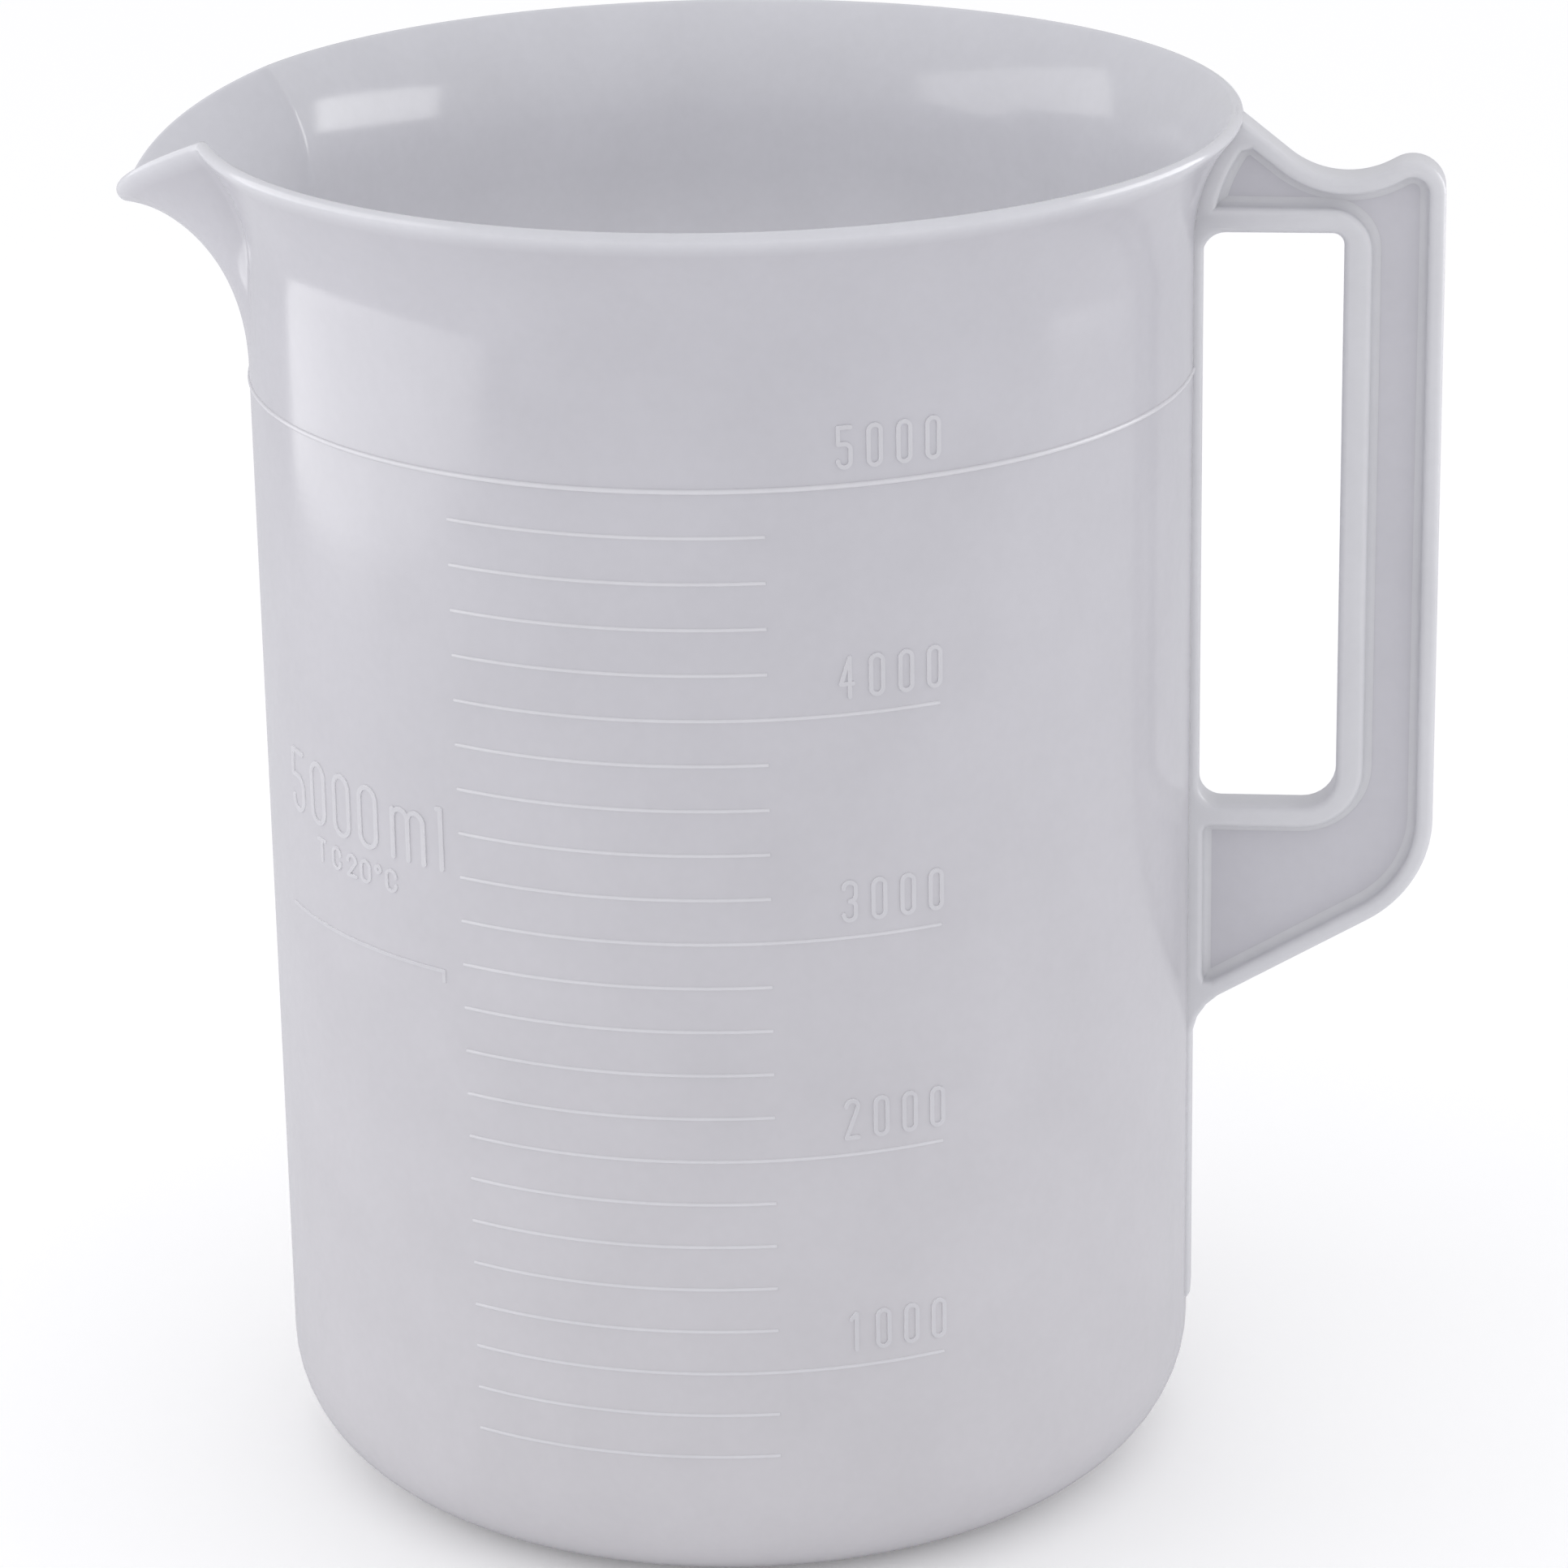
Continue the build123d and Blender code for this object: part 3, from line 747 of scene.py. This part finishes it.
def plate(name, outlines, width, edge):
    """A flat plate in the handle's plane from closed outlines, with rounded edges."""
    data = bpy.data.curves.new(name, "CURVE")
    data.dimensions = "2D"
    data.fill_mode = "BOTH"
    data.extrude = (width / 2 - edge) * MM
    data.bevel_depth = edge * MM
    data.bevel_resolution = 3
    data.offset = -edge * MM
    for points in outlines:
        spline = data.splines.new("POLY")
        spline.points.add(len(points) - 1)
        for point, (x, z) in zip(spline.points, points):
            point.co = (x * MM, z * MM, 0, 1)
        spline.use_cyclic_u = True
    flat = bpy.data.objects.new(name, data)
    bpy.context.scene.collection.objects.link(flat)
    bpy.context.view_layer.update()
    mesh = bpy.data.meshes.new_from_object(flat.evaluated_get(bpy.context.evaluated_depsgraph_get()))
    bpy.data.objects.remove(flat)
    mesh.transform(Matrix.Rotation(math.radians(90), 4, "X"))
    work = bmesh.new()
    work.from_mesh(mesh)
    bmesh.ops.remove_doubles(work, verts=work.verts, dist=1e-6)
    bmesh.ops.recalc_face_normals(work, faces=work.faces)
    for face in work.faces:
        face.smooth = True
    for edge_line in work.edges:
        if len(edge_line.link_faces) == 2 and edge_line.calc_face_angle() > math.radians(35):
            edge_line.smooth = False
    work.to_mesh(mesh)
    work.free()
    piece = bpy.data.objects.new(name, mesh)
    bpy.context.scene.collection.objects.link(piece)
    return piece


# The handle's faces are a little more matt than the wall's polish. Its flanges are painted paler
# than the wall, and its web a shade darker: painted light and shade on one plastic.
handle_plastic_painted_paler = polypropylene("natural_polypropylene_flange", "#D0D0D4", 0.32)
web_plastic_painted_darker = polypropylene("natural_polypropylene_web", "#C5C4CA", 0.32)

handle_frame = plate("handle_frame", [outline, opening, pocket], HANDLE_WIDTH, HANDLE_EDGE)
handle_frame.data.materials.append(handle_plastic_painted_paler)
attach(handle_frame, "root")
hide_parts("handle_wall_rib", "handle_grip", "handle_outer_flange")


FILLET_RADIUS = 1.6
FILLET_STEPS = 6
FILLET_SINK = 0.5
SHORTEST_RUN = 0.05


def root_fillet(name, loop, radius):
    """A hollow fillet all round a closed outline, on both faces of the web, where it meets the
    flanges: each is a closed ring with a three-sided section whose long side is an arc."""
    points = [Vector(point) for point in loop]
    loop = [point for i, point in enumerate(points) if (point - points[i - 1]).length > SHORTEST_RUN]
    web_face = WEB_WIDTH / 2
    section = [
        (radius * (1 - math.cos(turn)), web_face + radius * (1 - math.sin(turn)))
        for turn in [math.radians(90 * k / FILLET_STEPS) for k in range(FILLET_STEPS + 1)]
    ]
    section += [
        (radius, web_face - FILLET_SINK),
        (-FILLET_SINK, web_face - FILLET_SINK),
        (-FILLET_SINK, web_face + radius),
    ]
    area = sum(loop[i - 1].x * loop[i].y - loop[i].x * loop[i - 1].y for i in range(len(loop)))
    way = 1 if area > 0 else -1
    work = bmesh.new()
    for side in (1, -1):
        rings = []
        for i, point in enumerate(loop):
            before = (point - loop[i - 1]).normalized()
            after = (loop[(i + 1) % len(loop)] - point).normalized()
            along = (before + after).normalized()
            inward = Vector((-along.y, along.x)) * way / max(along.dot(after), 0.6)
            rings.append(
                [
                    work.verts.new(
                        ((point.x + u * inward.x) * MM, side * v * MM, (point.y + u * inward.y) * MM)
                    )
                    for u, v in section
                ]
            )
        for i, ring_points in enumerate(rings):
            last = rings[i - 1]
            for k in range(len(section)):
                work.faces.new((last[k - 1], last[k], ring_points[k], ring_points[k - 1]))
    bmesh.ops.recalc_face_normals(work, faces=work.faces)
    for face in work.faces:
        face.smooth = True
    for edge_line in work.edges:
        edge_line.smooth = edge_line.calc_face_angle() < math.radians(35)
    mesh = bpy.data.meshes.new(name)
    work.to_mesh(mesh)
    work.free()
    piece = bpy.data.objects.new(name, mesh)
    bpy.context.scene.collection.objects.link(piece)
    return piece


web_fillet = root_fillet("handle_web_fillet", pocket, FILLET_RADIUS)
# The fillet takes the flanges' paler plastic: painted light that lifts the shade in the crease where web
# meets flange.
web_fillet.data.materials.append(handle_plastic_painted_paler)
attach(web_fillet, "root")

web_line = (
    around(neck_circle[0], neck_circle[1] + 1.5, 170.0, 143.0, 8)
    + handle_line(OUTER_FLANGE - 1)
    + [down_slope(handle_line(OUTER_FLANGE - 1)[-1], FOOT_SLOPE, 90.8), (90.6, GRIP_LOW + 1)]
    + around((GRIP_RIGHT - 13, GRIP_LOW + 13), 12, 270, 360, 12)
    + around((GRIP_RIGHT - 9, GRIP_HIGH - 9), 8, 0, 90, 10)
)
handle_web = plate("handle_web_plate", [web_line], WEB_WIDTH, 0.3)
handle_web.data.materials.append(web_plastic_painted_darker)
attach(handle_web, "root")
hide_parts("handle_web")

# ---- Volume scale ----------------------------------------------------------------------------
# Raised lines moulded on the side of the wall, one for each 200 ml, with longer ones at each
# whole litre, and a rounded ring all the way round at the full capacity.
FIRST_Z = 32.0
LINE_RISE = 200000 / (math.pi * (wall_radius(125.0) - WALL) ** 2)
LINE_HEIGHT = 0.7
LINE_RELIEF = 0.16
LINE_RUN_OUT = 0.85
SCALE_START = -117.2
SHORT_END = -79.1
LONG_END = -58.5
RING_HEIGHT = 1.0
RING_RELIEF = 0.35
RING_START = 2.4
NEVER = 1000

raised_lines = bpy.data.node_groups.new("raised_lines_on_wall", "GeometryNodeTree")
for socket_name, socket_type in (
    ("Start mesh", "NodeSocketGeometry"),
    ("First height", "NodeSocketFloat"),
    ("Rise", "NodeSocketFloat"),
    ("Count", "NodeSocketInt"),
    ("Skip phase", "NodeSocketInt"),
    ("Skip every", "NodeSocketInt"),
    ("Radius", "NodeSocketFloat"),
    ("Taper", "NodeSocketFloat"),
    ("Start angle", "NodeSocketFloat"),
    ("Sweep angle", "NodeSocketFloat"),
    ("Bead radius", "NodeSocketFloat"),
    ("End share", "NodeSocketFloat"),
    ("Resolution", "NodeSocketInt"),
    ("Plastic", "NodeSocketMaterial"),
):
    raised_lines.interface.new_socket(name=socket_name, in_out="INPUT", socket_type=socket_type)
raised_lines.interface.new_socket(name="Lines", in_out="OUTPUT", socket_type="NodeSocketGeometry")
given = raised_lines.nodes.new("NodeGroupInput").outputs
path = add_node(
    raised_lines,
    "GeometryNodeCurveArc",
    {
        "Resolution": given["Resolution"],
        "Radius": given["Radius"],
        "Start Angle": given["Start angle"],
        "Sweep Angle": given["Sweep angle"],
    },
)
bead = add_node(
    raised_lines, "GeometryNodeCurvePrimitiveCircle", {"Resolution": 32, "Radius": given["Bead radius"]}
)
# A line is cut deepest at its start and runs out shallower and thinner.
thinning = add_node(
    raised_lines,
    "ShaderNodeMapRange",
    {
        "Value": add_node(raised_lines, "GeometryNodeSplineParameter").outputs["Factor"],
        "To Min": 1.0,
        "To Max": given["End share"],
    },
)
thinned = add_node(
    raised_lines,
    "GeometryNodeSetCurveRadius",
    {"Curve": path.outputs[0], "Radius": thinning.outputs["Result"]},
)
line = add_node(
    raised_lines,
    "GeometryNodeCurveToMesh",
    {"Curve": thinned.outputs[0], "Profile Curve": bead.outputs[0], "Fill Caps": True},
)
heights = add_node(
    raised_lines,
    "GeometryNodeMeshLine",
    {
        "Count": given["Count"],
        "Start Location": add_node(
            raised_lines, "ShaderNodeCombineXYZ", {"Z": given["First height"]}
        ).outputs[0],
        "Offset": add_node(raised_lines, "ShaderNodeCombineXYZ", {"Z": given["Rise"]}).outputs[0],
    },
)
number = add_node(
    raised_lines,
    "ShaderNodeMath",
    {0: add_node(raised_lines, "GeometryNodeInputIndex").outputs[0], 1: given["Skip phase"]},
    operation="ADD",
)
remainder = add_node(
    raised_lines, "ShaderNodeMath", {0: number.outputs[0], 1: given["Skip every"]}, operation="MODULO"
)
kept = add_node(
    raised_lines, "ShaderNodeMath", {0: remainder.outputs[0], 1: 0.5}, operation="GREATER_THAN"
)
own_height = add_node(
    raised_lines,
    "ShaderNodeSeparateXYZ",
    {0: add_node(raised_lines, "GeometryNodeInputPosition").outputs[0]},
)
gain = add_node(
    raised_lines,
    "ShaderNodeMath",
    {0: own_height.outputs["Z"], 1: given["Taper"]},
    operation="MULTIPLY",
)
gain = add_node(raised_lines, "ShaderNodeMath", {0: gain.outputs[0], 1: given["Radius"]}, operation="DIVIDE")
gain = add_node(raised_lines, "ShaderNodeMath", {0: gain.outputs[0], 1: 1.0}, operation="ADD")
spread = add_node(
    raised_lines, "ShaderNodeCombineXYZ", {"X": gain.outputs[0], "Y": gain.outputs[0], "Z": 1.0}
)
placed = add_node(
    raised_lines,
    "GeometryNodeInstanceOnPoints",
    {
        "Points": heights.outputs[0],
        "Selection": kept.outputs[0],
        "Instance": line.outputs[0],
        "Scale": spread.outputs[0],
    },
)
realized = add_node(raised_lines, "GeometryNodeRealizeInstances", {"Geometry": placed.outputs[0]})
smooth = add_node(raised_lines, "GeometryNodeSetShadeSmooth", {"Geometry": realized.outputs[0]})
finished = add_node(
    raised_lines,
    "GeometryNodeSetMaterial",
    {"Geometry": smooth.outputs[0], "Material": given["Plastic"]},
)
add_node(raised_lines, "NodeGroupOutput", {"Lines": finished.outputs[0]})

# The lines and the ring are the wall's plastic painted paler: a painted highlight where light catches their
# raised edges.
line_plastic_painted_paler = polypropylene("natural_polypropylene_lines", "#D1D0D5", 0.25)


def line_set(name, first, rise, count, phase, every, start, end, height, relief, run_out, steps):
    """Raised lines on the wall, all alike: each is the cap of a round bead sunk in the wall, and
    at its far end the bead has sunk by the run-out's share of the relief."""
    bead_radius = (relief**2 + (height / 2) ** 2) / (2 * relief)
    piece = grown(
        name,
        bpy.data.meshes.new(name + "_start"),
        raised_lines,
        {
            "First height": first * MM,
            "Rise": rise * MM,
            "Count": count,
            "Skip phase": phase,
            "Skip every": every,
            "Radius": (BASE_RADIUS + relief - bead_radius) * MM,
            "Taper": TAPER,
            "Start angle": math.radians(start),
            "Sweep angle": math.radians(end - start),
            "Bead radius": bead_radius * MM,
            "End share": 1 - run_out * relief / bead_radius,
            "Resolution": steps,
            "Plastic": line_plastic_painted_paler,
        },
    )
    turn_faces_out(piece)
    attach(piece, "root")
    return piece


short_lines = line_set(
    "short_scale_lines",
    first=FIRST_Z,
    rise=LINE_RISE,
    count=22,
    phase=3,
    every=5,
    start=SCALE_START,
    end=SHORT_END,
    height=LINE_HEIGHT,
    relief=LINE_RELIEF,
    run_out=LINE_RUN_OUT,
    steps=60,
)
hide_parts("scale_lines")
long_lines = line_set(
    "litre_lines",
    first=FIRST_Z + 2 * LINE_RISE,
    rise=5 * LINE_RISE,
    count=4,
    phase=1,
    every=NEVER,
    start=SCALE_START,
    end=LONG_END,
    height=LINE_HEIGHT,
    relief=LINE_RELIEF,
    run_out=LINE_RUN_OUT,
    steps=90,
)
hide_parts("thousand_lines")
ring = line_set(
    "full_ring",
    first=FIRST_Z + 22 * LINE_RISE,
    rise=1.0,
    count=1,
    phase=1,
    every=NEVER,
    start=RING_START,
    end=360 - RING_START,
    height=RING_HEIGHT,
    relief=RING_RELIEF,
    run_out=0.0,
    steps=288,
)
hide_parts("capacity_ring")

# ---- Numerals and marks ----------------------------------------------------------------------
# Raised figures at each whole litre, the capacity with a plain rule under it, and the
# calibration note. Their carried-over shapes are right, so they only take the plastic.
# Their faces are painted a little paler than the wall and their flanks much paler: a painted highlight that
# outlines each figure.
mark_plastic_painted_highlight = polypropylene("natural_polypropylene_markings", "#CAC9CE", 0.2, "#F2F2F5")

for node in (
    "numeral_1000",
    "numeral_2000",
    "numeral_3000",
    "numeral_4000",
    "numeral_5000",
    "capacity_mark",
    "temperature_mark",
    "mark_rule",
):
    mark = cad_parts[node]
    mark.data.materials.clear()
    mark.data.materials.append(mark_plastic_painted_highlight)
